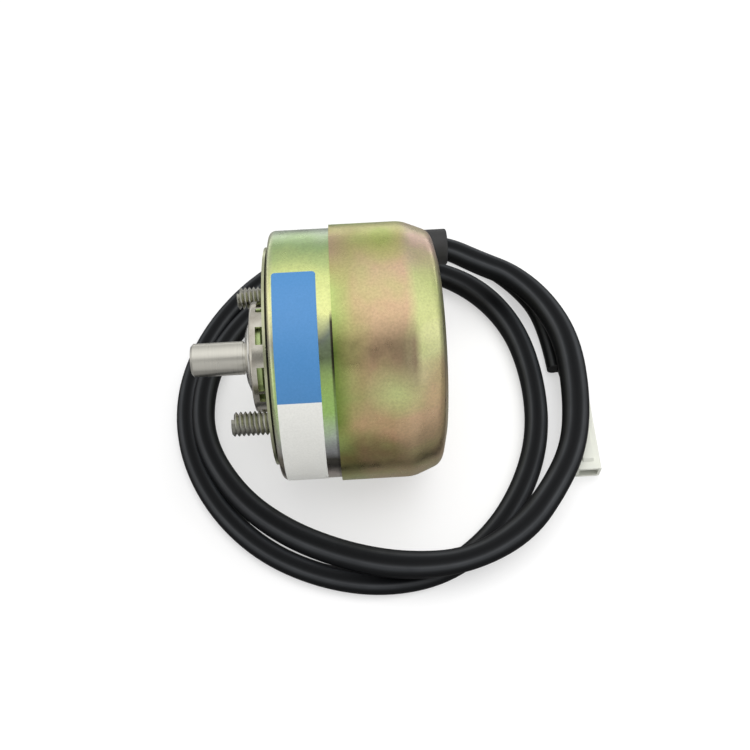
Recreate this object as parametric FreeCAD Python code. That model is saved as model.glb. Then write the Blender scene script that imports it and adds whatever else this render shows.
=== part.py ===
import FreeCAD, Part
import math
import os

from FreeCAD import Base

Vec = Base.Vector

# A rotary solenoid lying on its side. The shaft runs along X: its free end
# points to -X and the dust cover closes the +X end. The origin is on the
# shaft's axis, in the front face of the mounting plate. Millimetres.

# Front plate, the face that goes against the panel
plate_inset = 2.8         # its rim inside the case's
plate_thick = 0.45
boss_gap = 0.5            # the plate stands this far off the case's lip

# Case: a drawn drum whose closed end carries the ball races
case_wall = 1.2
case_lip_thick = 1.0
case_lip_width = 4.1
case_corner = 1.1
race_wall = 2.0           # thickness of the closed end
core_gap = 0.5            # round the armature core, in the closed end
case_inner_length = 15.05

# Dust cover over the rear end
cover_wall = 0.55
cover_clearance = 0.05
cover_overlap = 7.65      # its open edge in front of the closed end
cover_tail_room = 1.8     # behind the shaft's rear end
cover_cone_length = 4.9
cover_dome = 1.0          # from the cone's end to the flat rear
cover_cone_drop = 2.0
cover_shoulder = 6.0       # radii of its three bends, from the side to the rear
cover_corner = 2.6
cover_rear_corner = 2.2
cover_rear_step = 4.2     # the dished rim, in from the cone's end

# Base plate and stator pole inside the case
fit_clearance = 0.05
base_thick = 3.0
base_corner = 0.4
boss_clearance = 0.5
pole_nose_wall = 1.5      # round the bush
pole_shank_wall = 3.5
pole_seat_width = 1.0
pole_length = 6.2
pole_nose_reach = 0.9
pole_nose_corner = 0.3
pole_bore_clearance = 0.4
pole_seat_step = 0.6
cone_depth = 2.4
cone_width = 2.8

# Shaft and what is pressed on it
shaft_radius = 3.0
shaft_reach = 14.3        # free tip in front of the plate's face
shaft_tail = 0.8          # behind the retaining ring
shaft_chamfer = 0.45
relief_depth = 0.25       # undercut where the hub's front ends
relief_width = 0.8
relief_under_hub = 0.2
journal_clearance = 0.03
bush_wall = 1.5
bush_length = 4.2
bush_end_gap = 0.5

# Coil
bobbin_wall = 0.9
bobbin_tube_clearance = 0.2
bobbin_flange_gap = 0.25
bobbin_end_gap = 0.1
tape_thick = 0.35
winding_inset = 1.35      # below the bobbin's flanges

# Stroke: the armature turns and is drawn in along helical races
turn_angle = 45.0
axial_stroke = 1.2
residual_gap = 0.3

# Balls and races
ball_count = 3
ball_radius = 1.5
race_inset = 4.1          # from the armature plate's rim
race_clearance = 0.06
race_shallow = 0.35       # depth of a ball in each race at rest
race_first_angle = 30.0

# Armature
plate_armature_inset = 3.5
plate_armature_thick = 2.6
plate_armature_corner = 0.4
core_clearance = 0.6      # inside the pole's seat
collar_wall = 2.0
collar_length = 2.5
collar_corner = 0.5
ring_width = 1.7
ring_thick = 0.6
ring_groove_depth = 0.4
ring_clearance = 0.05
ring_gap_angle = 60.0
ring_set_back = 0.2

# Spring housing, spring and hub in front of the plate
housing_radius = 9.9
housing_depth = 3.2
housing_wall = 0.6
housing_corner = 0.5
housing_hole_radius = 4.9
notch_depth = 2.05
hook_notch_width = 0.9    # holds the spring's outer end
hook_notch_angle = -24.0
small_notch_width = 2.0
small_notch_angles = (75.6, 104.0, 160.0, 257.0)
middle_notch_width = 3.3
middle_notch_angles = (8.4, 188.4)
wide_notch_width = 4.4
wide_notch_angles = (-43.0, 53.6, 137.0, 233.6)
tab_width = 1.8
tab_angles = (29.5, 172.0, 283.0)
tab_clearance = 0.04

hub_flange_width = 2.2    # out from the neck
hub_flange_thick = 0.4    # at its rim
hub_cone_width = 1.4      # the rim slopes down to the front face over this
hub_cone_length = 0.55
hub_corner = 0.25
hub_gap = 0.25
hub_neck_wall = 0.9
hub_slot_width = 0.5
hub_slot_depth = 0.7
hub_slot_wall = 0.2       # left between the slot and the flange
washer_inset = 0.8        # inside the nose's rim
washer_thick = 0.3
washer_clearance = 0.1

spring_strip = 0.32
spring_width = 1.0
spring_turns = 4
spring_wall_gap = 0.9     # inside the housing's wall
spring_end_gap = 0.3      # to the housing's front and round the hub's neck
spring_hook_front = -1.9   # the outer end hooks through its own notch
spring_hook_width = 0.8
spring_hook_reach = 0.3

# Mounting studs, number 8 size, on a line through the shaft's axis
stud_radius = 2.083
stud_reach = 6.6
stud_circle_radius = 15.06
stud_angle = 77.7         # from +Z towards -Y
stud_to_rim = 7.04        # from the stud's centre to the case's side
stud_shank_radius = 2.4   # pressed into the base plate
stud_chamfer = 0.35
stud_head_radius = 3.1
stud_head_thick = 1.2

# Name label, blank, wrapped on the case
label_thick = 0.12
label_set_back = 0.95     # behind the case's lip
label_width = 7.1
label_start = -7.0        # from +Z towards -Y
label_sweep = 122.0
label_corner = 0.6

# Lead exit on the far side: a grommet in the case and a boot beside the cover
exit_angle = 257.7        # from +Z towards -Y, in line with the studs
exit_set_back = 6.45      # behind the case's lip
boot_radius = 3.5
boot_clearance = 0.2
boot_mouth_reach = 4.0    # behind the cover
boot_rim = 0.4
grommet_radius = 2.4
grommet_bore = 1.6
grommet_inside = 0.1
exit_hole_clearance = 0.03

# Cable: a vinyl sleeve over two leads, lying on the table
cable_radius = 2.1
crossing_clearance = 0.3
lead_radius = 0.6

# Connector housing on the leads' end
plug_x = 57.6
plug_rear_y = -2.2
plug_width = 4.6
plug_length = 14.9
plug_height = 3.5
plug_corner = 0.4
socket_width = 3.6
socket_height = 2.4
socket_depth = 7.0
latch_length = 6.5
latch_width = 2.0
latch_height = 0.5
latch_set_back = 1.5
pin_width = 0.7
pin_spacing = 1.8
pin_reach = 5.0

# Radii worked out from the sizes above
case_radius = stud_circle_radius + stud_to_rim
case_inner_radius = case_radius - case_wall
case_lip_inner = case_radius - case_lip_width
cover_radius = case_radius + cover_clearance + cover_wall
plate_radius = case_radius - plate_inset
boss_radius = case_lip_inner - boss_clearance
bore_radius = shaft_radius + journal_clearance
bush_radius = shaft_radius + bush_wall
pole_bore_radius = shaft_radius + pole_bore_clearance
pole_nose_radius = bush_radius + pole_nose_wall
pole_shank_radius = bush_radius + pole_shank_wall
pole_radius = pole_shank_radius + pole_seat_width
core_radius = pole_radius - core_clearance
cone_tip_radius = core_radius - cone_width
winding_inner = pole_radius + bobbin_tube_clearance + bobbin_wall
winding_outer = case_inner_radius - bobbin_flange_gap - winding_inset
plate_armature_radius = case_radius - plate_armature_inset
race_radius = plate_armature_radius - race_inset
collar_radius = shaft_radius + collar_wall
relief_radius = shaft_radius - relief_depth
ring_groove_radius = shaft_radius - ring_groove_depth
ring_radius = ring_groove_radius + ring_width
hub_neck_radius = shaft_radius + hub_neck_wall
hub_radius = hub_neck_radius + hub_flange_width
hub_face_radius = hub_radius - hub_cone_width
washer_radius = pole_nose_radius - washer_inset
spring_outer_radius = housing_radius - housing_wall - spring_wall_gap

# Places along the axis
lip_front = plate_thick + boss_gap
base_front = lip_front + case_lip_thick
base_rear = base_front + base_thick
race_inner = base_front + case_inner_length
race_face = race_inner + race_wall
pole_rear = base_rear + pole_length
gap_at_rest = 2 * (ball_radius - race_shallow)
armature_front = race_face + gap_at_rest
armature_rear = armature_front + plate_armature_thick
core_front = pole_rear + axial_stroke + residual_gap
ring_front = armature_rear + collar_length + ring_set_back
shaft_rear = ring_front + ring_thick + shaft_tail
cover_front = race_face - cover_overlap
cover_end = shaft_rear + cover_tail_room
cone_end = cover_end - cover_dome
cone_start = cone_end - cover_cone_length
winding_front = base_rear + bobbin_wall
winding_rear = race_inner - bobbin_end_gap - bobbin_wall
nose_front = -pole_nose_reach
hub_rear = nose_front - washer_thick
hub_flange_rear = -housing_depth - hub_gap
hub_front = hub_flange_rear - hub_flange_thick - hub_cone_length
spring_angle = hook_notch_angle
label_front = lip_front + label_set_back
exit_x = lip_front + exit_set_back
boot_mouth = cover_end + boot_mouth_reach

boot_centre = cover_radius + boot_clearance + boot_radius
exit_y = -boot_centre * math.sin(math.radians(exit_angle))
exit_z = boot_centre * math.cos(math.radians(exit_angle))

floor_z = -cover_radius
cable_z = floor_z + cable_radius
over_z = cable_z + 2 * cable_radius + crossing_clearance
plug_middle = floor_z + plug_height / 2

# The cable's route, from the boot's mouth to its cut end. It comes down over
# its own last loop and the plug, lies round the body on the table, crosses over
# itself on a long low hump and ends on the inner side of its first loop.
cable_route = [
    (boot_mouth, exit_y, exit_z),
    (40.0, 25.6, -8.0),
    (47.5, 25.2, -13.4),
    (53.4, 18.6, -15.8),
    (57.2, 9.1, -16.2),
    (57.8, -2.9, -16.3),
    (55.9, -13.4, -16.3),
    (51.1, -21.5, -16.2),
    (44.0, -29.0, over_z),
    (34.0, -34.8, over_z),
    (22.5, -36.0, over_z),
    (11.5, -32.2, -17.8),
    (1.0, -25.5, -20.3),
    (-8.0, -17.8, cable_z),
    (-13.9, -7.0, cable_z),
    (-14.8, 4.5, cable_z),
    (-10.9, 15.2, cable_z),
    (-3.5, 25.0, cable_z),
    (7.5, 31.3, cable_z),
    (20.0, 33.4, cable_z),
    (32.0, 31.6, cable_z),
    (42.0, 25.5, cable_z),
    (48.6, 15.5, cable_z),
    (50.1, 3.5, cable_z),
    (49.8, -8.5, cable_z),
    (46.0, -19.0, cable_z),
    (39.0, -28.5, cable_z),
    (29.5, -35.6, cable_z),
    (18.0, -37.4, cable_z),
    (6.5, -34.9, cable_z),
    (-4.5, -28.6, cable_z),
    (-13.2, -19.0, cable_z),
    (-18.5, -7.0, cable_z),
    (-19.0, 5.5, cable_z),
    (-15.0, 17.5, cable_z),
    (-6.8, 28.0, cable_z),
    (4.0, 35.6, cable_z),
    (16.5, 39.0, cable_z),
    (29.0, 38.6, cable_z),
    (40.5, 34.5, cable_z),
    (49.5, 27.0, cable_z),
    (53.8, 17.0, cable_z),
    (54.2, 5.6, cable_z),
]

# The two leads go on from the cut end, under the first loop and into the plug
lead_route_1 = [
    (53.4, 5.6, cable_z),
    (54.1, 3.3, -20.7),
    (56.1, 0.1, -20.85),
    (56.8, plug_rear_y, plug_middle),
]
lead_route_2 = [
    (55.0, 5.6, cable_z),
    (55.7, 3.3, -20.7),
    (57.7, 0.1, -20.85),
    (58.4, plug_rear_y, plug_middle),
]


def place_on_drum(shape, angle):
    """Turn a shape made above the axis to an angle from +Z towards -Y."""
    turned = shape.copy()
    turned.rotate(Vec(0, 0, 0), Vec(1, 0, 0), angle)
    return turned


def tube(radius, inner, x0, x1):
    """A round tube or rod on the X axis between two places."""
    solid = Part.makeCylinder(radius, x1 - x0, Vec(x0, 0, 0), Vec(1, 0, 0))
    if inner > 0:
        solid = solid.cut(Part.makeCylinder(inner, x1 - x0, Vec(x0, 0, 0), Vec(1, 0, 0)))
    return solid


def box(x0, x1, y0, y1, z0, z1):
    """A block between two corners."""
    return Part.makeBox(x1 - x0, y1 - y0, z1 - z0, Vec(x0, y0, z0))


def rounded_path(points, radii, closed=False):
    """Straight runs through the points, joined by tangent arcs."""
    count = len(points)
    corners = []
    for index in range(count):
        here = points[index]
        radius = radii[index]
        if radius == 0 or (not closed and index in (0, count - 1)):
            corners.append((here, here, None))
            continue
        back = (points[index - 1] - here).normalize()
        ahead = (points[(index + 1) % count] - here).normalize()
        half = back.getAngle(ahead) / 2
        reach = radius / math.tan(half)
        middle = (back + ahead).normalize()
        crown = here + middle * (radius / math.sin(half) - radius)
        corners.append((here + back * reach, here + ahead * reach, crown))
    edges = []
    last = count if closed else count - 1
    for index in range(count):
        start, end, crown = corners[index]
        if crown is not None:
            edges.append(Part.Arc(start, crown, end).toShape())
        if index < last:
            following = corners[(index + 1) % count][0]
            if end.distanceToPoint(following) > 1e-6:
                edges.append(Part.LineSegment(end, following).toShape())
    return Part.Wire(edges)


def turned(profile):
    """Revolve a profile of (x, radius) or (x, radius, corner) about X."""
    points = [Vec(item[0], item[1], 0) for item in profile]
    radii = [item[2] if len(item) > 2 else 0 for item in profile]
    face = Part.Face(rounded_path(points, radii, closed=True))
    return face.revolve(Vec(0, 0, 0), Vec(1, 0, 0), 360)


def make_front_plate():
    """Thin plate with holes for the pole's nose, the studs and the tabs."""
    plate = tube(plate_radius, pole_nose_radius + fit_clearance, 0, plate_thick)
    for stud in stud_centres():
        plate = plate.cut(rod_at(stud_shank_radius + fit_clearance, 0, plate_thick, stud))
    for angle in tab_angles:
        plate = plate.cut(housing_tab(angle, tab_clearance))
    return plate


def make_case():
    """Drum with a rolled lip in front and coined ball races behind."""
    inner = case_inner_radius
    drum = turned([
        (lip_front, case_lip_inner),
        (lip_front, case_radius, case_corner),
        (race_face, case_radius, case_corner),
        (race_face, core_radius + core_gap),
        (race_inner, core_radius + core_gap),
        (race_inner, inner),
        (base_front, inner),
        (base_front, case_lip_inner),
    ])
    for number in range(ball_count):
        drum = drum.cut(race_groove(number, -1))
    hole = radial_rod(grommet_radius + exit_hole_clearance, 0, case_radius + 1)
    return drum.cut(place_on_drum(hole, exit_angle))


def make_base_plate():
    """Thick iron plate that closes the case's front and holds the studs."""
    base = turned([
        (plate_thick, pole_shank_radius),
        (plate_thick, boss_radius),
        (base_front, boss_radius),
        (base_front, case_inner_radius - fit_clearance),
        (base_rear, case_inner_radius - fit_clearance, base_corner),
        (base_rear, pole_shank_radius),
    ])
    for stud in stud_centres():
        base = base.cut(rod_at(stud_shank_radius, plate_thick, base_rear, stud))
        base = base.cut(rod_at(stud_head_radius, base_rear - stud_head_thick, base_rear, stud))
    return base


def make_stator_pole():
    """Pole with a conical seat for the armature core and bores for bushes."""
    bush_end = nose_front + bush_end_gap + bush_length
    rear_bush = pole_rear - bush_end_gap - bush_length
    return turned([
        (nose_front, pole_bore_radius),
        (nose_front + bush_end_gap, pole_bore_radius),
        (nose_front + bush_end_gap, bush_radius),
        (bush_end, bush_radius),
        (bush_end, pole_bore_radius),
        (rear_bush, pole_bore_radius),
        (rear_bush, bush_radius),
        (pole_rear - bush_end_gap, bush_radius),
        (pole_rear - bush_end_gap, cone_tip_radius - pole_seat_step),
        (pole_rear + cone_depth, pole_radius),
        (base_rear, pole_radius),
        (base_rear, pole_shank_radius),
        (plate_thick, pole_shank_radius),
        (plate_thick, pole_nose_radius),
        (nose_front, pole_nose_radius, pole_nose_corner),
    ])


def make_bush(x0):
    """Sintered bush for the shaft."""
    return tube(bush_radius, bore_radius, x0, x0 + bush_length)


def make_coil_bobbin():
    """Moulded bobbin between the base plate and the closed end."""
    front = base_rear
    rear = race_inner - bobbin_end_gap
    bore = pole_radius + bobbin_tube_clearance
    flange = case_inner_radius - bobbin_flange_gap
    return turned([
        (front, bore),
        (front, flange),
        (front + bobbin_wall, flange),
        (front + bobbin_wall, bore + bobbin_wall),
        (rear - bobbin_wall, bore + bobbin_wall),
        (rear - bobbin_wall, flange),
        (rear, flange),
        (rear, bore),
    ])


def make_coil_winding():
    """Wound copper between the bobbin's flanges."""
    return tube(winding_outer, winding_inner, winding_front, winding_rear)


def make_coil_tape():
    """Insulating tape round the winding."""
    return tube(winding_outer + tape_thick, winding_outer, winding_front, winding_rear)


def rod_at(radius, x0, x1, centre):
    """A rod along X through a place in the YZ plane."""
    return Part.makeCylinder(radius, x1 - x0, Vec(x0, centre[0], centre[1]), Vec(1, 0, 0))


def stud_centres():
    """Places of the two studs in the YZ plane."""
    centres = []
    for angle in (stud_angle, stud_angle + 180):
        turn = math.radians(angle)
        centres.append((-stud_circle_radius * math.sin(turn), stud_circle_radius * math.cos(turn)))
    return centres


def make_mounting_stud(centre):
    """Stud pressed through the base plate from behind."""
    thread = rod_at(stud_radius, -stud_reach, 0, centre)
    thread = thread.makeChamfer(stud_chamfer, [edge_at(thread, -stud_reach)])
    shank = rod_at(stud_shank_radius, 0, base_rear, centre)
    head = rod_at(stud_head_radius, base_rear - stud_head_thick, base_rear, centre)
    return thread.fuse([shank, head]).removeSplitter()


def edge_at(shape, x):
    """The round edge that lies at one place along X."""
    for edge in shape.Edges:
        bounds = edge.BoundBox
        if abs(bounds.XMin - x) < 1e-4 and abs(bounds.XMax - x) < 1e-4:
            return edge
    raise ValueError("no round edge at x = %.3f" % x)


def make_shaft():
    """Ground shaft: chamfered tip, undercut at the hub, ring groove behind."""
    relief_rear = hub_front + relief_under_hub
    relief_front = relief_rear - relief_width
    return turned([
        (-shaft_reach, 0),
        (-shaft_reach, shaft_radius - shaft_chamfer),
        (-shaft_reach + shaft_chamfer, shaft_radius),
        (relief_front, shaft_radius),
        (relief_front, relief_radius),
        (relief_rear, relief_radius),
        (relief_rear, shaft_radius),
        (ring_front - ring_clearance, shaft_radius),
        (ring_front - ring_clearance, ring_groove_radius),
        (ring_front + ring_thick + ring_clearance, ring_groove_radius),
        (ring_front + ring_thick + ring_clearance, shaft_radius),
        (shaft_rear, shaft_radius, shaft_chamfer),
        (shaft_rear, 0),
    ])


def make_armature_core():
    """Conical iron core that is drawn into the pole."""
    return turned([
        (core_front, shaft_radius),
        (core_front, cone_tip_radius),
        (core_front + cone_depth, core_radius),
        (armature_front, core_radius),
        (armature_front, shaft_radius),
    ])


def make_armature_plate():
    """Round plate with the moving half of each ball race."""
    plate = turned([
        (armature_front, shaft_radius),
        (armature_front, plate_armature_radius, plate_armature_corner),
        (armature_rear, plate_armature_radius, plate_armature_corner),
        (armature_rear, shaft_radius),
    ])
    for number in range(ball_count):
        plate = plate.cut(race_groove(number, 1))
    return plate


def make_armature_collar():
    """Collar pressed on the shaft behind the armature plate."""
    return turned([
        (armature_rear, shaft_radius),
        (armature_rear, collar_radius),
        (armature_rear + collar_length, collar_radius, collar_corner),
        (armature_rear + collar_length, shaft_radius),
    ])


def make_retaining_ring():
    """Open ring snapped into the shaft's rear groove."""
    inner = ring_groove_radius + ring_clearance
    ring = tube(ring_radius, inner, ring_front, ring_front + ring_thick)
    reach = ring_radius * 2
    half = math.radians(ring_gap_angle / 2)
    corners = [
        Vec(ring_front, 0, 0),
        Vec(ring_front, reach * math.sin(half), reach * math.cos(half)),
        Vec(ring_front, -reach * math.sin(half), reach * math.cos(half)),
    ]
    wedge = Part.Face(Part.makePolygon(corners + corners[:1])).extrude(Vec(ring_thick, 0, 0))
    return ring.cut(wedge)


def race_line(number, side):
    """Centre line of a ball race as an arc in a tilted plane.

    side is -1 for the case's half, where the ball rolls forward by half the
    stroke, and 1 for the armature's half, which the ball rolls back along.
    """
    start = race_first_angle + number * 360 / ball_count
    rolled = -side * turn_angle / 2
    mid_x = race_face + gap_at_rest / 2 + side * axial_stroke / 4
    chord = 2 * race_radius * math.sin(math.radians(turn_angle / 4))
    tilt = math.atan((axial_stroke / 2) / chord)
    arc = []
    for share in (-0.5, 0.0, 0.5):
        swing = math.radians(rolled * share)
        along = race_radius * math.sin(swing)
        out = race_radius * math.cos(swing)
        arc.append(Vec(mid_x - along * math.tan(tilt), -along, out))
    wire = Part.Wire([Part.Arc(arc[0], arc[1], arc[2]).toShape()])
    return place_on_drum(wire, start + rolled / 2)


def race_groove(number, side):
    """Solid that cuts one race: a bent rod with round ends."""
    wire = race_line(number, side)
    edge = wire.Edges[0]
    start = edge.valueAt(edge.FirstParameter)
    end = edge.valueAt(edge.LastParameter)
    radius = ball_radius + race_clearance
    circle = Part.Wire([Part.makeCircle(radius, start, edge.tangentAt(edge.FirstParameter))])
    groove = wire.makePipeShell([circle], True, False)
    return groove.fuse([Part.makeSphere(radius, start), Part.makeSphere(radius, end)])


def make_ball(number):
    """Steel ball at the shallow end of its race."""
    ball = Part.makeSphere(ball_radius, Vec(race_face + gap_at_rest / 2, 0, race_radius))
    return place_on_drum(ball, race_first_angle + number * 360 / ball_count)


def make_dust_cover():
    """Drawn cup that slips over the case and closes the rear end."""
    wall = cover_wall
    side = cover_radius
    cone_radius = side - cover_cone_drop
    rim_radius = cone_radius - cover_rear_step
    cone_tilt = math.atan(cover_cone_drop / cover_cone_length)
    rim_tilt = math.atan(cover_rear_step / (cover_end - cone_end))
    inner_start = cone_start - wall * math.tan(cone_tilt / 2)
    bisector = (cone_tilt + rim_tilt) / 2
    inward = wall / math.cos((rim_tilt - cone_tilt) / 2)
    inner_end = cone_end - inward * math.sin(bisector)
    inner_radius = cone_radius - inward * math.cos(bisector)
    inner_rim = rim_radius - wall * math.tan((math.pi / 2 - rim_tilt) / 2)
    return turned([
        (cover_front, side - wall),
        (cover_front, side),
        (cone_start, side, cover_shoulder),
        (cone_end, cone_radius, cover_corner),
        (cover_end, rim_radius, cover_rear_corner),
        (cover_end, 0),
        (cover_end - wall, 0),
        (cover_end - wall, inner_rim, cover_rear_corner - wall),
        (inner_end, inner_radius, cover_corner - wall),
        (inner_start, side - wall, cover_shoulder - wall),
    ])


def housing_tab(angle, clearance):
    """Tab of the spring housing that is staked into the front plate."""
    half = tab_width / 2 + clearance
    wall = housing_wall + 2 * clearance
    outer = housing_radius + clearance
    ring = tube(outer, outer - wall, 0, plate_thick)
    return place_on_drum(ring.common(box(0, plate_thick, -half, half, 0, outer + 1)), angle)


def make_spring_housing():
    """Notched cup over the return spring, open towards the plate."""
    front = -housing_depth
    cup = turned([
        (0, housing_radius - housing_wall),
        (0, housing_radius),
        (front, housing_radius, housing_corner),
        (front, housing_hole_radius),
        (front + housing_wall, housing_hole_radius),
        (front + housing_wall, housing_radius - housing_wall),
    ])
    notches = [(hook_notch_angle, hook_notch_width)]
    notches += [(angle, small_notch_width) for angle in small_notch_angles]
    notches += [(angle, middle_notch_width) for angle in middle_notch_angles]
    notches += [(angle, wide_notch_width) for angle in wide_notch_angles]
    for angle, width in notches:
        notch = box(-notch_depth, 1, -width / 2, width / 2, housing_radius / 2, housing_radius + 1)
        cup = cup.cut(place_on_drum(notch, angle))
    for angle in tab_angles:
        cup = cup.fuse(housing_tab(angle, 0))
    return cup.removeSplitter()


def make_spring_hub():
    """Flanged hub on the shaft, slotted for the spring's inner end."""
    hub = turned([
        (hub_rear, shaft_radius),
        (hub_rear, hub_neck_radius),
        (hub_flange_rear, hub_neck_radius),
        (hub_flange_rear, hub_radius),
        (hub_flange_rear - hub_flange_thick, hub_radius, hub_corner),
        (hub_front, hub_face_radius, hub_corner),
        (hub_front, shaft_radius),
    ])
    slot = box(hub_flange_rear + hub_slot_wall, hub_rear, -hub_slot_width / 2, hub_slot_width / 2,
               hub_neck_radius - hub_slot_depth, hub_neck_radius + hub_slot_depth)
    return hub.cut(place_on_drum(slot, spring_angle))


def make_thrust_washer():
    """Washer between the hub and the pole's nose."""
    return tube(washer_radius, shaft_radius + washer_clearance, nose_front - washer_thick, nose_front)


def make_return_spring():
    """Flat spiral strip, its inner end in the hub and its outer in a notch."""
    front = -housing_depth + housing_wall + spring_end_gap
    rear = front + spring_width
    half = spring_strip / 2
    inner = hub_neck_radius + spring_end_gap + half
    step = (spring_outer_radius - inner) / spring_turns
    edges = []
    here = inner
    for number in range(2 * spring_turns):
        side = 1 if number % 2 == 0 else -1
        across = 2 * inner + step * (number + 1)
        there = here - side * across
        crown = Vec(front, side * across / 2, (here + there) / 2)
        edges.append(Part.Arc(Vec(front, 0, here), crown, Vec(front, 0, there)).toShape())
        here = there
    section = Part.makePolygon([
        Vec(front, 0, inner - half),
        Vec(rear, 0, inner - half),
        Vec(rear, 0, inner + half),
        Vec(front, 0, inner + half),
        Vec(front, 0, inner - half),
    ])
    strip = Part.Wire(edges).makePipeShell([section], True, False)
    tang_foot = hub_neck_radius - hub_slot_depth + half
    tang = box(front, rear, -half, half, tang_foot, inner)
    hook_rear = spring_hook_front + spring_hook_width
    hook_tip = housing_radius + spring_hook_reach
    riser = box(front, hook_rear, -half, half, here - half, here + half)
    hook = box(spring_hook_front, hook_rear, -half, half, here, hook_tip)
    return place_on_drum(strip.fuse([tang, riser, hook]).removeSplitter(), spring_angle)


def make_name_label():
    """Blank foil label with rounded corners, wrapped on the case."""
    outer = case_radius + label_thick
    band = tube(outer, case_radius, label_front, label_front + label_width)
    cutter = box(label_front, label_front + label_width, -outer - 1, outer + 1, 0, outer + 1)
    first = place_on_drum(cutter, label_start - 90)
    second = place_on_drum(cutter, label_start + label_sweep + 90)
    label = band.cut(first).cut(second)
    corners = [edge for edge in label.Edges if abs(edge.Length - label_thick) < label_thick / 10]
    return label.makeFillet(label_corner, corners)


def radial_rod(radius, inner, outer):
    """A rod that stands straight out of the drum at the lead exit's place."""
    return Part.makeCylinder(radius, outer - inner, Vec(exit_x, 0, inner), Vec(0, 0, 1))


def make_lead_grommet():
    """Grommet that lines the hole in the case."""
    inner = case_inner_radius - grommet_inside
    plug = radial_rod(grommet_radius, inner, case_radius + 1)
    plug = plug.common(tube(case_radius, inner, 0, race_inner))
    plug = plug.cut(radial_rod(grommet_bore, inner - 1, case_radius + 1))
    return place_on_drum(plug, exit_angle)


def make_lead_boot():
    """Moulded elbow from the case's side to the mouth beside the cover."""
    foot = radial_rod(boot_radius, 0, boot_centre)
    elbow = Part.makeSphere(boot_radius, Vec(exit_x, 0, boot_centre))
    barrel = Part.makeCylinder(boot_radius, boot_mouth - exit_x, Vec(exit_x, 0, boot_centre), Vec(1, 0, 0))
    barrel = barrel.makeFillet(boot_rim, [edge_at(barrel, boot_mouth)])
    boot = foot.fuse([elbow, barrel]).removeSplitter()
    boot = boot.cut(tube(case_radius, 0, 0, race_face))
    boot = boot.cut(radial_rod(grommet_bore, 0, boot_centre))
    return place_on_drum(boot, exit_angle)


def make_plug_housing():
    """Two-way connector housing with a latch on its upper face."""
    front = plug_rear_y - plug_length
    left = plug_x - plug_width / 2
    top = floor_z + plug_height
    body = box(left, left + plug_width, front, plug_rear_y, floor_z, top)
    upright = [edge for edge in body.Edges if edge.BoundBox.YLength > plug_length / 2]
    body = body.makeFillet(plug_corner, upright)
    socket = box(plug_x - socket_width / 2, plug_x + socket_width / 2, front, front + socket_depth,
                 plug_middle - socket_height / 2, plug_middle + socket_height / 2)
    latch_start = front + latch_set_back
    latch = box(plug_x - latch_width / 2, plug_x + latch_width / 2, latch_start,
                latch_start + latch_length, top - latch_height, top + latch_height)
    ramp = []
    for edge in latch.Edges:
        bounds = edge.BoundBox
        if abs(bounds.ZMin - top - latch_height) < 1e-6 and abs(bounds.YMax - latch_start) < 1e-6:
            ramp.append(edge)
    latch = latch.makeChamfer(latch_height * 0.9, ramp)
    return body.cut(socket).fuse(latch).removeSplitter()


def make_plug_pins():
    """Two square pins standing side by side in the connector's socket."""
    floor = plug_rear_y - plug_length + socket_depth
    half = pin_width / 2
    pins = []
    for side in (-0.5, 0.5):
        across = plug_x + side * pin_spacing
        pins.append(box(across - half, across + half, floor - pin_reach, floor,
                        plug_middle - half, plug_middle + half))
    return Part.makeCompound(pins)


def swept_cord(points, radius, name):
    """A round cord, each arc as large as its two runs allow."""
    places = [Vec(*point) for point in points]
    radii = [0]
    for index in range(1, len(places) - 1):
        back = places[index - 1] - places[index]
        ahead = places[index + 1] - places[index]
        run = min(back.Length, ahead.Length)
        half_turn = (math.pi - back.getAngle(ahead)) / 2
        radii.append(0.45 * run / math.tan(half_turn))
    radii.append(0)
    path = rounded_path(places, radii)
    edge = path.Edges[0]
    tangent = edge.tangentAt(edge.FirstParameter)
    circle = Part.Wire([Part.makeCircle(radius, places[0], tangent)])
    solid = path.makePipeShell([circle], True, False)
    share = solid.Volume / (math.pi * radius ** 2 * path.Length)
    low = solid.optimalBoundingBox(False).ZMin
    print("%s: length %.1f, volume share %.4f, lowest %.3f" % (name, path.Length, share, low))
    print("  radii", [round(value, 1) for value in radii[1:-1]])
    return solid


def write(name, shape):
    """Check that a sub-part is closed and write its STEP file."""
    if not shape.isValid():
        raise ValueError(name + " isn't a valid solid")
    print("%-18s solids %d volume %10.2f" % (name, len(shape.Solids), shape.Volume))
    shape.exportStep(os.path.join("parts", name + ".step"))


def main():
    os.makedirs("parts", exist_ok=True)
    write("front_plate", make_front_plate())
    write("case", make_case())
    write("base_plate", make_base_plate())
    write("stator_pole", make_stator_pole())
    write("front_bush", make_bush(nose_front + bush_end_gap))
    write("rear_bush", make_bush(pole_rear - bush_end_gap - bush_length))
    write("coil_bobbin", make_coil_bobbin())
    write("coil_winding", make_coil_winding())
    write("coil_tape", make_coil_tape())
    for number, centre in enumerate(stud_centres(), 1):
        write("mounting_stud_%d" % number, make_mounting_stud(centre))
    write("shaft", make_shaft())
    write("armature_core", make_armature_core())
    write("armature_plate", make_armature_plate())
    write("armature_collar", make_armature_collar())
    write("retaining_ring", make_retaining_ring())
    for number in range(ball_count):
        write("ball_%d" % (number + 1), make_ball(number))
    write("dust_cover", make_dust_cover())
    write("spring_housing", make_spring_housing())
    write("spring_hub", make_spring_hub())
    write("thrust_washer", make_thrust_washer())
    write("return_spring", make_return_spring())
    write("name_label", make_name_label())
    write("lead_grommet", make_lead_grommet())
    write("lead_boot", make_lead_boot())
    write("cable_sleeve", swept_cord(cable_route, cable_radius, "cable_sleeve"))
    write("lead_wire_1", swept_cord(lead_route_1, lead_radius, "lead_wire_1"))
    write("lead_wire_2", swept_cord(lead_route_2, lead_radius, "lead_wire_2"))
    write("plug_housing", make_plug_housing())
    write("plug_pins", make_plug_pins())


main()
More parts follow.
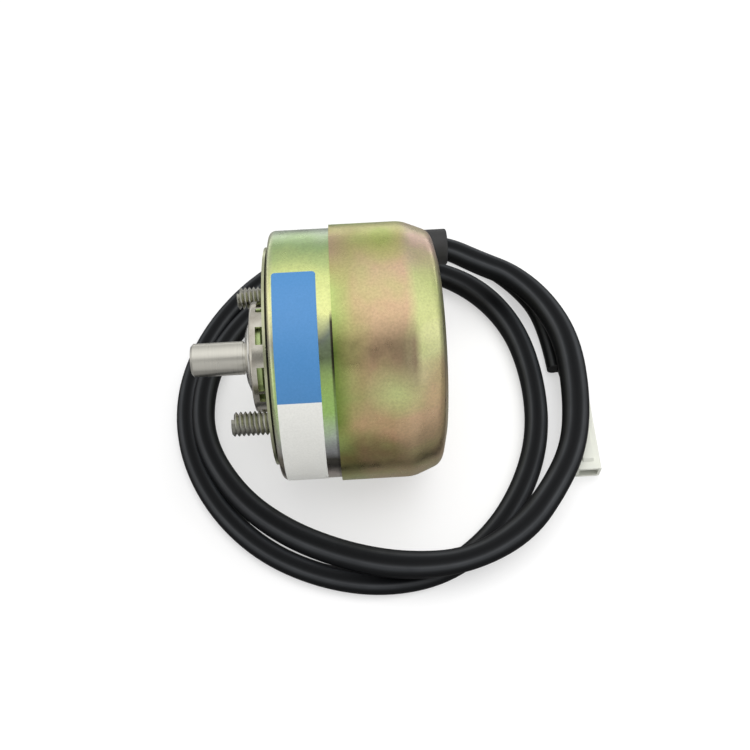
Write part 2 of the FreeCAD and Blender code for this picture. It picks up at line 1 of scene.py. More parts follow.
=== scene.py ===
import bmesh
import bpy
import math
from mathutils import Matrix, Vector


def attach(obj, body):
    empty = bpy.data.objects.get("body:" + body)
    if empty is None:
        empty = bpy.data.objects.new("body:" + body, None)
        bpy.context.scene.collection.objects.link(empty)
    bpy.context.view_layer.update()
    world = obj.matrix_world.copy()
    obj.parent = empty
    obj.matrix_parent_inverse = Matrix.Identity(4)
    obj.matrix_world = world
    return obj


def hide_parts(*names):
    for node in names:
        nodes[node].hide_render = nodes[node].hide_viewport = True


# A rotary solenoid lying on its side, its sleeved lead coiled round it on a
# pale table. Metres. The shaft's free end points to -X and +Z is up.

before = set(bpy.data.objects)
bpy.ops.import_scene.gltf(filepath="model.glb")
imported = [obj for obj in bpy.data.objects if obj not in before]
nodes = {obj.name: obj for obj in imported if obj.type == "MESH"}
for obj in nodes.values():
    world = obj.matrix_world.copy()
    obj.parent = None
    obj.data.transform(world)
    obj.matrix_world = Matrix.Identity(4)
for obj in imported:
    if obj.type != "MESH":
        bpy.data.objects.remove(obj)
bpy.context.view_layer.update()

floor_z = -0.0227
scene_middle = 0.02

# Camera, fitted to the photograph's outlines
camera_lens = 50.27
camera_sensor = 36.0
camera_place = (0.014184, -0.093617, 0.16215)
camera_right = (0.99821, -0.05926, -0.0085)
camera_up = (0.05606, 0.87549, 0.47997)
camera_back = (-0.02100, -0.47958, 0.87725)

# Sleeve: half sizes of its section, points round it, and the hollow and the
# two ridges on it as shares of the half sizes
sleeve_half_width = 0.0021
sleeve_half_height = 0.00175
section_steps = 28
hollow_depth = 0.14
hollow_width = 0.28
ridge_place = 0.55
ridge_width = 0.26

# Heights at which the sleeve lies, and the radius of its two leads
sleeve_z = floor_z + sleeve_half_height
inner_loop_z = floor_z + 0.00189
crossing_z = -0.0169
lead_radius = 0.0006

# Studs: the thread, then the plain shank and head inside the drum
stud_radius = 0.002083
stud_root = 0.00163
stud_pitch = 0.000794
stud_reach = 0.0066
stud_circle = 0.01506
stud_angle = math.radians(77.7)
stud_chamfer = 0.00035
stud_shank_radius = 0.0024
stud_head_radius = 0.0031
stud_head_front = 0.00375
stud_rear = 0.00495
thread_steps = 32
thread_spare = 0.0006
thread_rear = 0.0002
rod_segments = 48
crease_angle = math.radians(50)

# Drum: places along the axis, radii between which its flat ends begin, the
# angles that its colours run over, and where the label's two fields meet
cover_front = 0.0114
cover_rear = 0.0298
case_step_front = 0.01085
case_step_rear = 0.01105
end_face_inner = 0.0150
end_face_outer = 0.0200
colours_from = -90.0
colours_to = 150.0
label_meeting = 50.4

# Fineness of the drawn sheet's grain, and pitch of the rings left by turning
plated_grain = 2600
ring_pitch = 0.00022

# Light and table. The lift takes the table towards white where it is seen,
# from its share near the object up to 1 further out.
surroundings_level = 0.60
lamp_power = 7.4
lamp_size = 0.9
lamp_place = (0.22, 0.12, 0.80)
table_size = 6.0
table_shade = 0.92
table_lift = 0.50
lift_near = 0.09
lift_far = 0.35

# Sheets that are seen in reflections alone
dark_card_size = (0.14, 0.28)
dark_card_place = (0.0, -0.16, 0.277)
grey_sheet_size = (1.2, 0.70)
grey_sheet_y = -0.25
grey_sheet_lift = 0.0003
grey_sheet_fade = 0.200

# Paper tent: its shape, and its brightness by angle from straight up towards
# the back, in degrees
tent_radius = 0.6
tent_half_length = 0.8
tent_reach = 100.0
tent_steps = 40
tent_gap = 0.001
tent_levels = [
    (-100.0, 0.50),
    (-60.0, 0.54),
    (-25.0, 0.65),
    (0.0, 0.94),
    (16.0, 1.00),
    (45.0, 0.84),
    (75.0, 0.54),
    (100.0, 0.50),
]


# Camera

def make_camera():
    """Camera at the photograph's height and angle."""
    data = bpy.data.cameras.new("camera")
    data.sensor_fit = "HORIZONTAL"
    data.sensor_width = camera_sensor
    data.lens = camera_lens
    data.clip_start = 0.005
    camera = bpy.data.objects.new("camera", data)
    turn = Matrix((camera_right, camera_up, camera_back)).transposed().to_4x4()
    camera.matrix_world = Matrix.Translation(camera_place) @ turn
    bpy.context.collection.objects.link(camera)
    bpy.context.scene.camera = camera


# Cords

# The sleeve from inside the boot to its cut end. The fourth number is how
# many times larger than usual its section is there.
sleeve_route = [
    (0.0318, 0.02579, -0.00562, 1.00),
    (0.0342, 0.0256, -0.0061, 1.06),
    (0.0400, 0.0241, -0.0091, 1.14),
    (0.0475, 0.0234, -0.0136, 1.17),
    (0.0534, 0.0180, -0.0158, 1.20),
    (0.0568, 0.0091, -0.0162, 1.25),
    (0.0568, -0.0029, -0.0163, 1.25),
    (0.0548, -0.0134, -0.0163, 1.18),
    (0.0500, -0.0215, -0.0163, 1.18),
    (0.0435, -0.0291, -0.0167, 1.26),
    (0.0336, -0.0342, crossing_z, 1.02),
    (0.0222, -0.0348, crossing_z, 1.22),
    (0.0113, -0.0319, -0.0178, 1.20),
    (0.0003, -0.0265, -0.0185, 1.18),
    (-0.0086, -0.0188, -0.0186, 1.10),
    (-0.0149, -0.0074, -0.0184, 1.02),
    (-0.0151, 0.0042, -0.0184, 1.04),
    (-0.0112, 0.0150, -0.0195, 1.00),
    (-0.0035, 0.0250, -0.0206, 1.00),
    (0.0075, 0.0313, sleeve_z, 1.00),
    (0.0200, 0.0334, -0.0209, 1.00),
    (0.0320, 0.0307, -0.0207, 1.12),
    (0.0413, 0.0248, -0.0205, 1.24),
    (0.0475, 0.0153, -0.0206, 1.16),
    (0.0498, 0.0035, inner_loop_z, 1.08),
    (0.0492, -0.0085, inner_loop_z, 1.08),
    (0.0453, -0.0190, inner_loop_z, 1.08),
    (0.0386, -0.0283, inner_loop_z, 1.04),
    (0.0293, -0.0349, sleeve_z, 1.00),
    (0.0180, -0.0367, sleeve_z, 1.00),
    (0.0065, -0.0344, sleeve_z, 1.00),
    (-0.0045, -0.0286, sleeve_z, 1.00),
    (-0.0132, -0.0190, sleeve_z, 1.00),
    (-0.0183, -0.0070, sleeve_z, 1.00),
    (-0.0187, 0.0055, sleeve_z, 1.00),
    (-0.0145, 0.0175, sleeve_z, 1.00),
    (-0.0066, 0.0280, sleeve_z, 1.00),
    (0.0040, 0.0356, sleeve_z, 1.00),
    (0.0165, 0.0390, sleeve_z, 1.00),
    (0.0290, 0.0386, sleeve_z, 1.00),
    (0.0402, 0.0342, sleeve_z, 1.00),
    (0.0492, 0.0265, sleeve_z, 1.00),
    (0.0545, 0.0170, sleeve_z, 1.00),
    (0.0550, 0.0056, sleeve_z, 1.00),
]

lead_routes = [
    [
        (0.0556, 0.0060, -0.0216, 1.0),
        (0.0560, 0.0033, -0.0216, 1.0),
        (0.0565, 0.0001, -0.0213, 1.0),
        (0.0568, -0.0024, -0.02095, 1.0),
    ],
    [
        (0.0560, 0.0060, -0.0203, 1.0),
        (0.0568, 0.0033, -0.0203, 1.0),
        (0.0580, 0.0001, -0.0206, 1.0),
        (0.0584, -0.0024, -0.02095, 1.0),
    ],
]


def smooth_line(name, route):
    """One open smooth curve through a route's control points."""
    curve = bpy.data.curves.new(name, "CURVE")
    curve.dimensions = "3D"
    curve.resolution_u = 8
    curve.use_fill_caps = True
    curve.twist_mode = "Z_UP"
    spline = curve.splines.new("NURBS")
    spline.points.add(len(route) - 1)
    for point, (x, y, z, width) in zip(spline.points, route):
        point.co = (x, y, z, 1.0)
        point.radius = width
    spline.order_u = 3
    spline.use_endpoint_u = True
    line = bpy.data.objects.new(name, curve)
    bpy.context.collection.objects.link(line)
    return line


def line_points(line):
    """The points that a smooth curve runs through."""
    mesh = bpy.data.meshes.new_from_object(line)
    points = [vertex.co.copy() for vertex in mesh.vertices]
    bpy.data.meshes.remove(mesh)
    return points


def section_place(step):
    """One point of the sleeve's section, as shares of its half sizes."""
    turn = 2 * math.pi * step / section_steps
    across = math.copysign(abs(math.cos(turn)) ** 0.85, math.cos(turn))
    rise = math.copysign(abs(math.sin(turn)) ** 0.9, math.sin(turn))
    hollow = hollow_depth * math.exp(-(across / hollow_width) ** 2)
    return across, rise * (1.0 - hollow)


def sleeve_section():
    """Flattened oval with a soft ridge over each of the two leads inside."""
    curve = bpy.data.curves.new("sleeve_section", "CURVE")
    curve.dimensions = "2D"
    spline = curve.splines.new("POLY")
    spline.points.add(section_steps - 1)
    for step, point in enumerate(spline.points):
        across, rise = section_place(step)
        point.co = (sleeve_half_width * across, sleeve_half_height * rise, 0.0, 1.0)
    spline.use_cyclic_u = True
    section = bpy.data.objects.new("sleeve_section", curve)
    bpy.context.collection.objects.link(section)
    return section


def mark_ridges(mesh):
    """Store how near each point on the top lies to the two ridges, from 0 to 1; the sleeve's
    painted highlight follows it.
    """
    ridge = mesh.attributes.new("ridge", "FLOAT", "POINT")
    for index, item in enumerate(ridge.data):
        across, rise = section_place(index % section_steps)
        off = (abs(across) - ridge_place) / ridge_width
        item.value = math.exp(-off ** 2) if rise > 0 else 0.0


def swept_piece(name, line, ridges=False):
    """Mesh of a curve with its thickness, in place of the curve."""
    bpy.context.view_layer.update()
    swept = line.evaluated_get(bpy.context.evaluated_depsgraph_get())
    mesh = bpy.data.meshes.new_from_object(swept)
    mesh.name = name
    if ridges:
        mark_ridges(mesh)
    piece = bpy.data.objects.new(name, mesh)
    bpy.context.collection.objects.link(piece)
    bpy.data.objects.remove(line)
    tidy_shell(piece)
    return piece


def make_sleeve():
    """Black sleeve swept along its route."""
    line = smooth_line("sleeve_line", sleeve_route)
    path = line_points(line)
    section = sleeve_section()
    line.data.bevel_mode = "OBJECT"
    line.data.bevel_object = section
    sleeve = swept_piece("lead_sleeve", line, ridges=True)
    bpy.data.objects.remove(section)
    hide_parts("cable_sleeve")
    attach(sleeve, "housing")
    return sleeve


def make_lead(number, route):
    """One insulated lead from the sleeve's cut end to the connector."""
    line = smooth_line("lead_line_%d" % number, route)
    line.data.bevel_depth = lead_radius
    line.data.bevel_resolution = 4
    lead = swept_piece("lead_%d" % number, line)
    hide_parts("lead_wire_%d" % number)
    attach(lead, "housing")
    return lead


# Mesh pieces

def tidy_shell(piece):
    """Merge doubles, turn the faces outwards and shade them smooth."""
    shell = bmesh.new()
    shell.from_mesh(piece.data)
    bmesh.ops.remove_doubles(shell, verts=shell.verts, dist=1e-6)
    bmesh.ops.recalc_face_normals(shell, faces=shell.faces)
    for face in shell.faces:
        face.smooth = True
    for edge in shell.edges:
        if len(edge.link_faces) == 2 and edge.calc_face_angle(0.0) > crease_angle:
            edge.smooth = False
    shell.to_mesh(piece.data)
    shell.free()


def mesh_piece(name, shell):
    """Object made from a bmesh."""
    mesh = bpy.data.meshes.new(name)
    shell.to_mesh(mesh)
    shell.free()
    piece = bpy.data.objects.new(name, mesh)
    bpy.context.collection.objects.link(piece)
    return piece


def finished(name, shell, body, slot_name, *replaced):
    """Make a piece from a bmesh and tie it to its body. Its slot name is not used."""
    bmesh.ops.remove_doubles(shell, verts=shell.verts, dist=1e-7)
    bmesh.ops.recalc_face_normals(shell, faces=shell.faces)
    piece = mesh_piece(name, shell)
    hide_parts(*replaced)
    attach(piece, body)
    return piece


def add_rod(shell, radius, start, end):
    """A plain rod along X."""
    turn = Matrix.Rotation(math.pi / 2, 4, "Y")
    place = Matrix.Translation(((start + end) / 2, 0.0, 0.0))
    bmesh.ops.create_cone(shell, cap_ends=True, segments=rod_segments, radius1=radius,
                          radius2=radius, depth=end - start, matrix=place @ turn)


def make_stud(number, angle):
    """Threaded stud: a V groove wound along a rod, with a chamfered tip."""
    shell = bmesh.new()
    turns = int((stud_reach + thread_spare) / stud_pitch)
    start = -stud_reach - 0.4 * stud_pitch
    profile = [
        (0.0, stud_root),
        (0.40, stud_radius),
        (0.54, stud_radius),
        (0.94, stud_root),
        (1.0, stud_root),
    ]
    row = [shell.verts.new((start + share * stud_pitch, 0.0, radius)) for share, radius in profile]
    edges = [shell.edges.new(pair) for pair in zip(row, row[1:])]
    bmesh.ops.spin(shell, geom=row + edges, cent=(0, 0, 0), axis=(1, 0, 0),
                   dvec=(stud_pitch / thread_steps, 0, 0), angle=2 * math.pi * turns,
                   steps=thread_steps * turns, use_merge=False)
    bmesh.ops.remove_doubles(shell, verts=shell.verts, dist=2e-6)
    for end, outwards in ((-stud_reach, -1), (thread_rear, 1)):
        whole = shell.verts[:] + shell.edges[:] + shell.faces[:]
        bmesh.ops.bisect_plane(shell, geom=whole, plane_co=(end, 0, 0),
                               plane_no=(outwards, 0, 0), clear_outer=True)
    for vertex in shell.verts:
        limit = stud_radius - stud_chamfer + max(0.0, vertex.co.x + stud_reach)
        radius = math.hypot(vertex.co.y, vertex.co.z)
        if radius > limit:
            vertex.co.y *= limit / radius
            vertex.co.z *= limit / radius
    rims = [edge for edge in shell.edges if edge.is_boundary]
    bmesh.ops.holes_fill(shell, edges=rims, sides=0)
    for face in shell.faces:
        face.smooth = len(face.verts) < 6
    add_rod(shell, stud_shank_radius, 0.0, stud_head_front)
    add_rod(shell, stud_head_radius, stud_head_front, stud_rear)
    centre = Vector((0, -stud_circle * math.sin(angle), stud_circle * math.cos(angle)))
    bmesh.ops.translate(shell, verts=shell.verts, vec=centre)
    return finished("stud_thread_%d" % number, shell, "housing", "stud_steel",
                    "mounting_stud_%d" % number)


# Materials

class Finish:
    """A node material under construction."""

    def __init__(self, name):
        self.material = bpy.data.materials.new(name)
        self.material.use_nodes = True
        self.nodes = self.material.node_tree.nodes
        self.links = self.material.node_tree.links
        self.shader = self.nodes["Principled BSDF"]

    def add(self, kind, **values):
        """A new node with some of its settings."""
        node = self.nodes.new(kind)
        for key, value in values.items():
            setattr(node, key, value)
        return node

    def link(self, source, target):
        """Join an output to an input."""
        self.links.new(source, target)

    def fill(self, socket, value):
        """Give a socket a number, a colour or what another node makes."""
        if isinstance(value, (int, float)):
            socket.default_value = value
        elif isinstance(value, tuple):
            socket.default_value = (*value, 1.0)
        else:
            self.link(value, socket)

    def surface(self, quality, value):
        """One quality of the surface, such as its roughness."""
        self.fill(self.shader.inputs[quality], value)

    def show(self, shader):
        """Put another shader in the place of the surface's own."""
        self.link(shader, self.nodes["Material Output"].inputs["Surface"])

    def glow(self, colour):
        """A shader that gives off a colour."""
        node = self.add("ShaderNodeEmission")
        self.fill(node.inputs["Color"], colour)
        return node.outputs[0]

    def blend(self, amount, first, second):
        """Mix of two shaders."""
        node = self.add("ShaderNodeMixShader")
        for socket, value in zip(node.inputs, (amount, first, second)):
            self.link(value, socket)
        return node.outputs[0]

    def place(self, scale=(1, 1, 1), shift=(0, 0, 0)):
        """Object coordinates, stretched or shifted."""
        coordinates = self.add("ShaderNodeTexCoord")
        mapping = self.add("ShaderNodeMapping")
        mapping.inputs["Location"].default_value = shift
        mapping.inputs["Scale"].default_value = scale
        self.link(coordinates.outputs["Object"], mapping.inputs["Vector"])
        return mapping.outputs["Vector"]

    def axes(self, shift=(0, 0, 0)):
        """Object coordinates, as one value for each axis."""
        split = self.add("ShaderNodeSeparateXYZ")
        self.link(self.place(shift=shift), split.inputs["Vector"])
        return split.outputs

    def noise(self, scale, stretch=(1, 1, 1), detail=2.0, rough=0.5):
        """Cloudy noise, mostly between 0.3 and 0.7."""
        node = self.add("ShaderNodeTexNoise")
        node.inputs["Scale"].default_value = scale
        node.inputs["Detail"].default_value = detail
        node.inputs["Roughness"].default_value = rough
        self.link(self.place(stretch), node.inputs["Vector"])
        return node.outputs["Fac"]

    def math(self, operation, *values):
        """One sum of numbers or of what other nodes make."""
        node = self.add("ShaderNodeMath", operation=operation)
        for socket, value in zip(node.inputs, values):
            self.fill(socket, value)
        return node.outputs[0]

    def span(self, value, low, high, out_low=0.0, out_high=1.0):
        """A value taken from one range to another."""
        node = self.add("ShaderNodeMapRange")
        self.link(value, node.inputs["Value"])
        node.inputs["From Min"].default_value = low
        node.inputs["From Max"].default_value = high
        node.inputs["To Min"].default_value = out_low
        node.inputs["To Max"].default_value = out_high
        return node.outputs["Result"]

    def spread(self, noise, low=0.0, high=1.0):
        """A noise taken to a range of its own."""
        return self.span(noise, 0.3, 0.7, low, high)

    def window(self, value, opens, full, fades, gone, left=0.0):
        """1 between two values, with soft sides, and what is left beyond."""
        return self.math("MULTIPLY", self.span(value, opens, full),
                         self.span(value, fades, gone, 1.0, left))

    def ramp(self, value, stops):
        """Colours laid along a value from 0 to 1."""
        node = self.add("ShaderNodeValToRGB")
        elements = node.color_ramp.elements
        while len(elements) < len(stops):
            elements.new(0.5)
        for element, (place, colour) in zip(elements, stops):
            element.position = place
            element.color = (*colour, 1.0)
        self.link(value, node.inputs["Fac"])
        return node.outputs["Color"]

    def mix(self, amount, first, second, blend="MIX"):
        """Mix of two colours."""
        node = self.add("ShaderNodeMix", data_type="RGBA", blend_type=blend)
        for number, value in ((0, amount), (6, first), (7, second)):
            self.fill(node.inputs[number], value)
        return node.outputs[2]

    def bump(self, height, strength, distance):
        """Small relief of the surface."""
        node = self.add("ShaderNodeBump")
        node.inputs["Strength"].default_value = strength
        node.inputs["Distance"].default_value = distance
        self.link(height, node.inputs["Height"])
        self.link(node.outputs["Normal"], self.shader.inputs["Normal"])

    def distance(self, first, second):
        """Distance from zero in two directions."""
        squares = [self.math("POWER", value, 2.0) for value in (first, second)]
        return self.math("POWER", self.math("ADD", *squares), 0.5)

    def oval(self, *sides):
        """Distance from the middle of an oval patch, 1 at its rim.

        Each side is a value, its middle and its reach."""
        return self.distance(*[self.math("DIVIDE", self.math("SUBTRACT", value, middle), reach)
                               for value, middle, reach in sides])

    def end_face(self):
        """1 on the drum's flat ends, 0 round it."""
        axes = self.axes()
        return self.span(self.distance(axes["Y"], axes["Z"]), end_face_inner, end_face_outer,
                         1.0, 0.0)

    def drum_place(self):
        """Place along the axis and angle from the top towards -Y, in degrees."""
        axes = self.axes()
        front = self.math("MULTIPLY", axes["Y"], -1.0)
        angle = self.math("ARCTAN2", front, axes["Z"])
        return axes["X"], self.math("MULTIPLY", angle, 180 / math.pi)

    def turn(self, angle, drift):
        """A drifting angle, as a share of those that the colours run over."""
        return self.span(self.math("ADD", angle, drift), colours_from, colours_to)


def plated(finish, colour, roughness):
    """Drawn, passivated sheet: soft patches, fine drawing marks."""
    speck = finish.spread(finish.noise(plated_grain), 0.90, 1.08)
    finish.surface("Base Color", finish.mix(1.0, colour, speck, "MULTIPLY"))
    finish.surface("Metallic", 1.0)
    cloud = finish.noise(420, detail=3.0)
    finish.surface("Roughness", finish.spread(cloud, roughness - 0.05, roughness + 0.06))
    finish.bump(finish.noise(plated_grain, detail=3.0), 0.12, 0.00005)


def zinc_cover():
    """Yellow passivate of the cover: green, peach and pale yellow zones, with painted light laid
    in: a pale painted highlight low on the front, a brown painted dark reflection above it, and a
    darker dip near the bottom that is a painted dark reflection too.
    """
    finish = Finish("yellow_zinc_cover")
    along, angle = finish.drum_place()
    drift = finish.spread(finish.noise(70, (1.0, 0.7, 0.7)), -0.0022, 0.0022)
    zone = finish.span(finish.math("ADD", along, drift), cover_front, cover_rear)
    colour = finish.ramp(zone, [
        (0.00, (0.62, 0.55, 0.25)),
        (0.14, (0.62, 0.56, 0.26)),
        (0.30, (0.79, 0.57, 0.37)),
        (0.70, (0.80, 0.57, 0.38)),
    ])
    turn = finish.turn(angle, finish.spread(finish.noise(90, (0.6, 1.0, 1.0)), -12.0, 12.0))
    # The dark stop at 0.71, about 80 degrees down, is a painted dark reflection near the bottom of
    # the cover.
    tint = finish.ramp(turn, [
        (0.00, (0.78, 1.14, 0.80)),
        (0.17, (0.78, 1.14, 0.70)),
        (0.24, (0.96, 1.00, 0.84)),
        (0.34, (1.00, 1.00, 1.00)),
        (0.50, (0.98, 0.94, 0.84)),
        (0.57, (0.84, 1.00, 0.74)),
        (0.66, (1.08, 0.98, 0.86)),
        (0.71, (0.64, 0.58, 0.46)),
        (0.79, (1.02, 1.12, 0.88)),
        (0.92, (0.92, 0.96, 0.86)),
    ])
    front = finish.mix(1.0, colour, tint, "MULTIPLY")
    rear = finish.ramp(turn, [
        (0.00, (0.78, 0.58, 0.48)),
        (0.28, (0.74, 0.54, 0.42)),
        (0.35, (0.70, 0.74, 0.34)),
        (0.45, (0.78, 0.82, 0.37)),
        (0.49, (0.98, 0.97, 0.52)),
        (0.525, (0.92, 0.78, 0.46)),
        (0.56, (0.84, 0.64, 0.38)),
        (0.61, (0.98, 0.68, 0.42)),
        (0.70, (0.86, 0.64, 0.38)),
    ])
    mixed = finish.mix(finish.span(zone, 0.60, 0.72), front, rear)
    patch = finish.span(finish.noise(130, detail=2.5), 0.45, 0.65)
    green = finish.mix(finish.math("MULTIPLY", patch, 0.35), mixed, (0.62, 0.72, 0.26))
    # Painted highlight: a pale yellow patch low on the front of the cover, about 47 degrees down.
    low_off = finish.oval((along, 0.0212, 0.0046), (angle, 47.0, 11.0))
    pale = finish.mix(finish.span(low_off, 0.1, 1.2, 0.8, 0.0), green, (0.90, 1.00, 0.44))
    high_off = finish.oval((along, 0.0200, 0.0042), (angle, -28.0, 20.0))
    topped = finish.mix(finish.span(high_off, 0.3, 1.2, 0.9, 0.0), pale, (0.56, 0.66, 0.18))
    # Painted dark reflection: a brown band from 16 to 50 degrees down, growing towards the crease
    # and ending at it.
    rising = finish.math("POWER", finish.span(along, 0.0128, 0.0240), 1.8)
    across = finish.math("MULTIPLY", rising, finish.span(along, 0.0242, 0.0254, 0.95, 0.0))
    painted_dark_reflection = finish.math("MULTIPLY", across, finish.window(angle, 16.0, 27.0, 36.0, 50.0))
    brown = finish.mix(painted_dark_reflection, topped, (0.40, 0.30, 0.19))
    edge = finish.span(along, cover_front, 0.0150, 0.7, 0.0)
    blush = finish.math("MULTIPLY", edge, finish.window(angle, -36.0, -28.0, -16.0, -8.0))
    pink = finish.mix(blush, brown, (0.64, 0.44, 0.32))
    bright = finish.math("MAXIMUM", finish.window(angle, -8.0, 4.0, 16.0, 28.0),
                         finish.window(angle, 60.0, 68.0, 74.0, 80.0))
    lime = finish.mix(finish.math("MULTIPLY", edge, bright), pink, (0.60, 0.80, 0.26))
    band = finish.math("MULTIPLY", finish.span(along, cover_front, 0.0140, 0.9, 0.0),
                       finish.window(angle, 10.0, 28.0, 60.0, 72.0))
    edged = finish.mix(band, lime, (0.24, 0.38, 0.07))
    end_patch = finish.mix(finish.span(finish.noise(110), 0.4, 0.6),
                           (0.80, 0.66, 0.40), (0.70, 0.74, 0.36))
    plated(finish, finish.mix(finish.end_face(), edged, end_patch), 0.31)
    return finish.material


def zinc_case():
    """Yellow passivate of the case: bright yellow, green and blue-grey zones, with a painted dark
    reflection in a band across the front, a painted highlight along the front corner and a painted
    shadow line in the step by the cover's rim.
    """
    finish = Finish("yellow_zinc_case")
    along, angle = finish.drum_place()
    turn = finish.turn(angle, finish.spread(finish.noise(95, (1.4, 1.0, 1.0)), -6.0, 6.0))
    # The dark stop at 0.468, about 22 degrees down, is a painted dark reflection; the stops at
    # 0.725 and 0.755 darken a band low on the front, 84 to 91 degrees down.
    colour = finish.ramp(turn, [
        (0.00, (0.66, 0.72, 0.52)),
        (0.17, (0.60, 0.68, 0.56)),
        (0.27, (0.48, 0.66, 0.30)),
        (0.35, (0.86, 0.94, 0.38)),
        (0.425, (0.94, 0.97, 0.42)),
        (0.468, (0.26, 0.30, 0.24)),
        (0.54, (0.50, 0.72, 0.22)),
        (0.60, (0.54, 0.84, 0.26)),
        (0.66, (0.80, 0.92, 0.76)),
        (0.70, (0.66, 0.67, 0.68)),
        (0.725, (0.15, 0.14, 0.12)),
        (0.755, (0.22, 0.20, 0.17)),
        (0.79, (0.72, 0.62, 0.56)),
        (0.88, (0.80, 0.76, 0.60)),
    ])
    # Painted highlight: a pale warm band along the case's rounded front corner, full up to 0.9 mm
    # along the axis and gone by 2.2 mm.
    painted_corner_highlight = finish.span(along, 0.0009, 0.0022, 1.0, 0.0)
    warm = finish.mix(finish.math("MULTIPLY", painted_corner_highlight, 0.6), colour, (0.88, 0.78, 0.60))
    # Painted shadow: a dark line on the case in the step beside the cover's rim, full from 17 to
    # 36 degrees down, none above 12 degrees and near half further down.
    shaded = finish.window(angle, 12.0, 17.0, 36.0, 50.0, 0.45)
    line = finish.span(along, case_step_front, case_step_rear, 0.0, 0.95)
    step = finish.math("MULTIPLY", line, shaded)
    whole = finish.mix(finish.end_face(), warm, (0.66, 0.70, 0.44))
    plated(finish, finish.mix(step, whole, (0.05, 0.04, 0.03)), 0.30)
    return finish.material


def bright_metal(name, light, dark, roughness, rings=0.0):
    """Bright metal, turned with faint rings round the axis or else stamped."""
    finish = Finish(name)
    cloud = finish.noise(300, detail=3.0)
    finish.surface("Base Color", finish.mix(finish.span(cloud, 0.35, 0.65), light, dark))
    finish.surface("Metallic", 1.0)
    finish.surface("Roughness", finish.spread(cloud, roughness - 0.04, roughness + 0.06))
    if rings:
        axes = finish.axes()
        out = finish.math("ADD", finish.distance(axes["Y"], axes["Z"]), axes["X"])
        lines = finish.math("SINE", finish.math("MULTIPLY", out, 2 * math.pi / ring_pitch))
        finish.bump(lines, rings, 0.00001)
    else:
        finish.bump(finish.noise(2400, detail=3.0), 0.15, 0.00003)
    return finish.material


def ground_shaft():
    """Ground steel with faint marks running round the shaft."""
    finish = Finish("ground_steel")
    marks = finish.noise(900, (4.0, 0.12, 0.12), detail=4.0, rough=0.6)
    steel = finish.mix(finish.spread(marks), (0.72, 0.70, 0.63), (0.78, 0.76, 0.68))
    finish.surface("Base Color", steel)
    finish.surface("Metallic", 1.0)
    finish.surface("Roughness", finish.spread(marks, 0.27, 0.31))
    finish.bump(marks, 0.02, 0.00002)
    return finish.material


def moulded(name, colour, shade, roughness, bump=0.2, metallic=0.0):
    """Moulded plastic, rubber or cast metal with a fine grain."""
    finish = Finish(name)
    cloud = finish.noise(260, detail=3.0)
    finish.surface("Base Color", finish.mix(finish.span(cloud, 0.35, 0.68), colour, shade))
    finish.surface("Metallic", metallic)
    finish.surface("Roughness", finish.spread(cloud, roughness - 0.05, roughness + 0.07))
    finish.bump(finish.noise(1600, detail=3.0), bump, 0.00004)
    return finish.material


def label_foil():
    """Blank foil label: blue field, then an off-white writing field."""
    finish = Finish("label_foil")
    angle = finish.drum_place()[1]
    speck = finish.spread(finish.noise(3200))
    blue = finish.mix(speck, (0.050, 0.200, 0.440), (0.060, 0.218, 0.475))
    white = finish.mix(speck, (0.70, 0.70, 0.66), (0.76, 0.76, 0.72))
    field = finish.math("GREATER_THAN", angle, label_meeting)
    finish.surface("Base Color", finish.mix(field, blue, white))
    finish.surface("Roughness", finish.spread(finish.noise(350), 0.34, 0.46))
    finish.bump(finish.noise(900, detail=3.0), 0.06, 0.00003)
    return finish.material


def black_sleeve():
    """Vinyl sleeve, polished where it is stretched over the two leads, with a painted highlight
    there: its colour is lighter along the top of each ridge.
    """
    finish = Finish("black_vinyl")
    ridge = finish.add("ShaderNodeAttribute", attribute_name="ridge").outputs["Fac"]
    cloud = finish.noise(160, detail=4.0)
    polish_and_painted_sheen = finish.math("MULTIPLY", finish.math("POWER", ridge, 2.0),
                       finish.spread(cloud, 0.7, 1.0))
    # Painted highlight: the lighter colour along the ridge tops; the higher specular there is the
    # polish.
    vinyl = finish.mix(polish_and_painted_sheen, (0.0045, 0.0049, 0.0056), (0.032, 0.035, 0.039))
    finish.surface("Base Color", vinyl)
    finish.surface("Specular IOR Level", finish.span(polish_and_painted_sheen, 0.0, 1.0, 0.10, 0.50))
    finish.surface("Roughness", finish.spread(cloud, 0.38, 0.52))
    finish.bump(finish.noise(1400, detail=4.0), 0.14, 0.00004)
    return finish.material


def dress(name, material):
    """Give a carried-over piece its material."""
    mesh = nodes[name].data
    mesh.materials.clear()
    mesh.materials.append(material)


